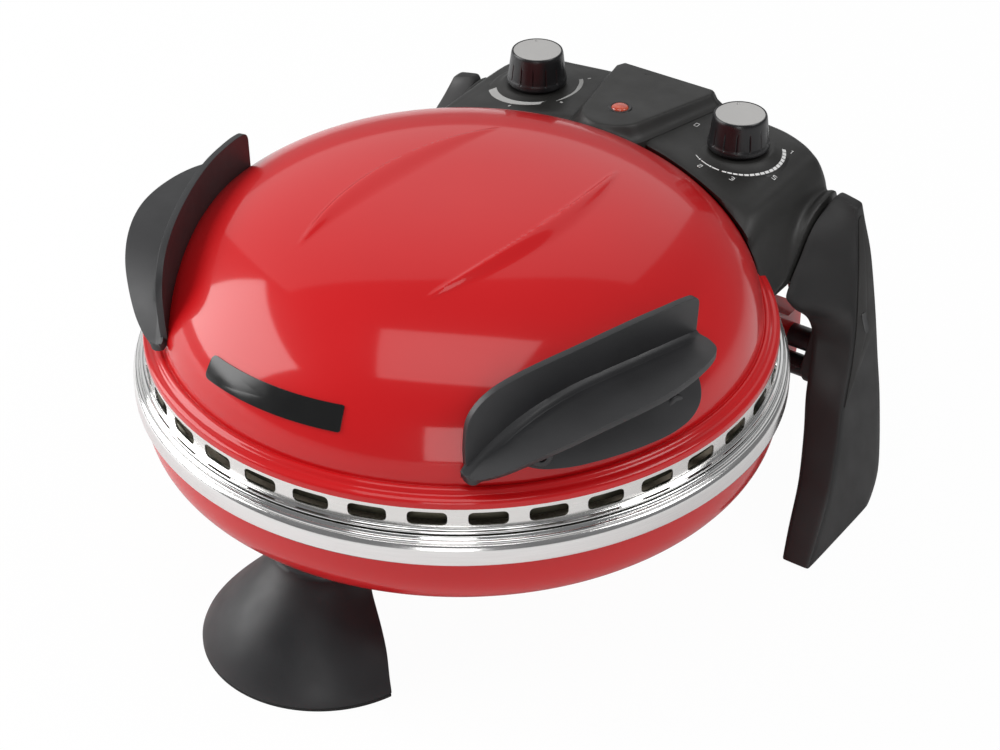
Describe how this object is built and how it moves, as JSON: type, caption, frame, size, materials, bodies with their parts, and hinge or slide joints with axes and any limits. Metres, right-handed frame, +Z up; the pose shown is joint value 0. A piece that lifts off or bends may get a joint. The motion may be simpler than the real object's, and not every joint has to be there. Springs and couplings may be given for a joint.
{
  "type": "pizza oven",
  "caption": "Countertop pizza oven with a hinged red dome lid, a slotted steel band, two shield handles, a rear console with two dials, a scoop foot and two raked rear legs.",
  "frame": {"origin": "on the table, at the centre of the bounding box seen from above, with the lid closed", "axes": "+X to the user's right when facing the front, +Y from the scoop foot at the front towards the console and hinge at the back, +Z up"},
  "size_m": [0.351, 0.386, 0.2011],
  "materials": {
    "red_enamel": "gloss enamel",
    "band_steel": "satin polished",
    "rim_steel": "polished",
    "reflector_steel": "bright",
    "heater_tube": "oxidised",
    "plated_steel": "zinc plated",
    "baking_stone": "unglazed fired clay",
    "black_moulding": "fine grained",
    "handle_moulding": "fine grained",
    "pad_rubber": "matt",
    "sleeve": "smooth",
    "hinge_steel": "yellow zinc",
    "switch_case": "pressed",
    "bell_brass": "bright",
    "lamp_lens": "translucent",
    "cap_steel": "satin with a bright edge",
    "knob_moulding": "satin",
    "badge": "smooth"
  },
  "bodies": {
    "base": {"lower_shell": "red_enamel", "base_band": "band_steel", "base_rim": "rim_steel", "lower_reflector": "reflector_steel", "lower_heater": "heater_tube", "lower_heater_clips": "plated_steel", "stone": "baking_stone", "front_foot": "black_moulding", "front_foot_pad": "pad_rubber", "foot_screws": "plated_steel", "left_leg": "black_moulding", "right_leg": "black_moulding", "left_leg_cover": "black_moulding", "right_leg_cover": "black_moulding", "leg_pads": "pad_rubber", "leg_screws": "plated_steel", "base_bracket": "red_enamel", "leg_sleeves": "sleeve", "leg_bolts": "hinge_steel", "hinge_pins": "hinge_steel", "terminal_box": "black_moulding"},
    "lid": {"upper_shell": "red_enamel", "slotted_band": "band_steel", "lid_rim": "rim_steel", "lid_reflector": "reflector_steel", "upper_heater": "heater_tube", "upper_heater_clips": "plated_steel", "console_shell": "black_moulding", "console_base": "black_moulding", "console_screws": "plated_steel", "lid_bracket": "red_enamel", "left_handle": "handle_moulding", "right_handle": "handle_moulding", "handle_screws": "plated_steel", "thermostat_body": "switch_case", "timer_body": "switch_case", "timer_bell": "bell_brass", "lamp_lens": "lamp_lens", "lamp_holder": "black_moulding", "badge_plate": "badge"},
    "thermostat_dial": {"thermostat_shaft": "hinge_steel", "thermostat_knob": "knob_moulding", "thermostat_cap": "cap_steel"},
    "timer_dial": {"timer_shaft": "hinge_steel", "timer_knob": "knob_moulding", "timer_cap": "cap_steel"}
  },
  "joints": [
    {"name": "lid_hinge", "type": "hinge", "parent": "base", "child": "lid", "pos_m": [0, 0.16, 0.091], "axis": [-1, 0, 0], "range_deg": [0, 90]},
    {"name": "thermostat_turn", "type": "hinge", "parent": "lid", "child": "thermostat_dial", "pos_m": [-0.0644, 0.1473, 0.1692], "axis": [0, 0, -1], "range_deg": [0, 270]},
    {"name": "timer_turn", "type": "hinge", "parent": "lid", "child": "timer_dial", "pos_m": [0.0644, 0.1473, 0.1692], "axis": [0, 0, -1], "range_deg": [0, 300]}
  ]
}
